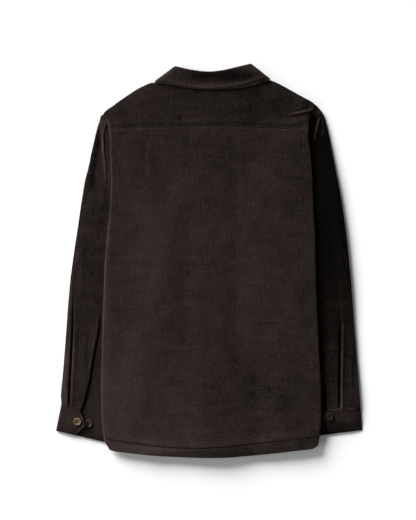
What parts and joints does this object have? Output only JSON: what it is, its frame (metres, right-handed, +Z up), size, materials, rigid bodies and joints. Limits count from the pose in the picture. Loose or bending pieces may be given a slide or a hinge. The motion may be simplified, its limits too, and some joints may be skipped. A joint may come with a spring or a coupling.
{
  "type": "button-front shirt jacket",
  "caption": "Long-sleeved corduroy shirt jacket laid flat on its front, with a turned-down collar, back yoke, buttoned cuffs with pointed tabs and a curved hem.",
  "frame": {"origin": "middle of the garment's outline, on the surface it lies on", "axes": "+Z up from the surface to the back of the garment, +Y from the hem to the collar, +X to the right of the back as it lies"},
  "size_m": [0.632, 0.8119, 0.0151],
  "materials": {
    "corduroy": "fine-ribbed cotton corduroy, very dark charcoal brown, matt",
    "horn": "horn-look plastic, olive brown, softly polished"
  },
  "bodies": {
    "root": {"back": "corduroy", "yoke": "corduroy", "front_left": "corduroy", "front_right": "corduroy", "collar_leaf": "corduroy", "collar_stand": "corduroy", "sleeve_top_left": "corduroy", "sleeve_top_right": "corduroy", "sleeve_under_left": "corduroy", "sleeve_under_right": "corduroy", "cuff_left": "corduroy", "cuff_right": "corduroy", "cuff_button_left_1": "horn", "cuff_button_left_2": "horn", "cuff_button_right_1": "horn", "cuff_button_right_2": "horn", "stand_button": "horn", "front_button_1": "horn", "front_button_2": "horn", "front_button_3": "horn", "front_button_4": "horn", "front_button_5": "horn", "front_button_6": "horn"}
  },
  "joints": []
}
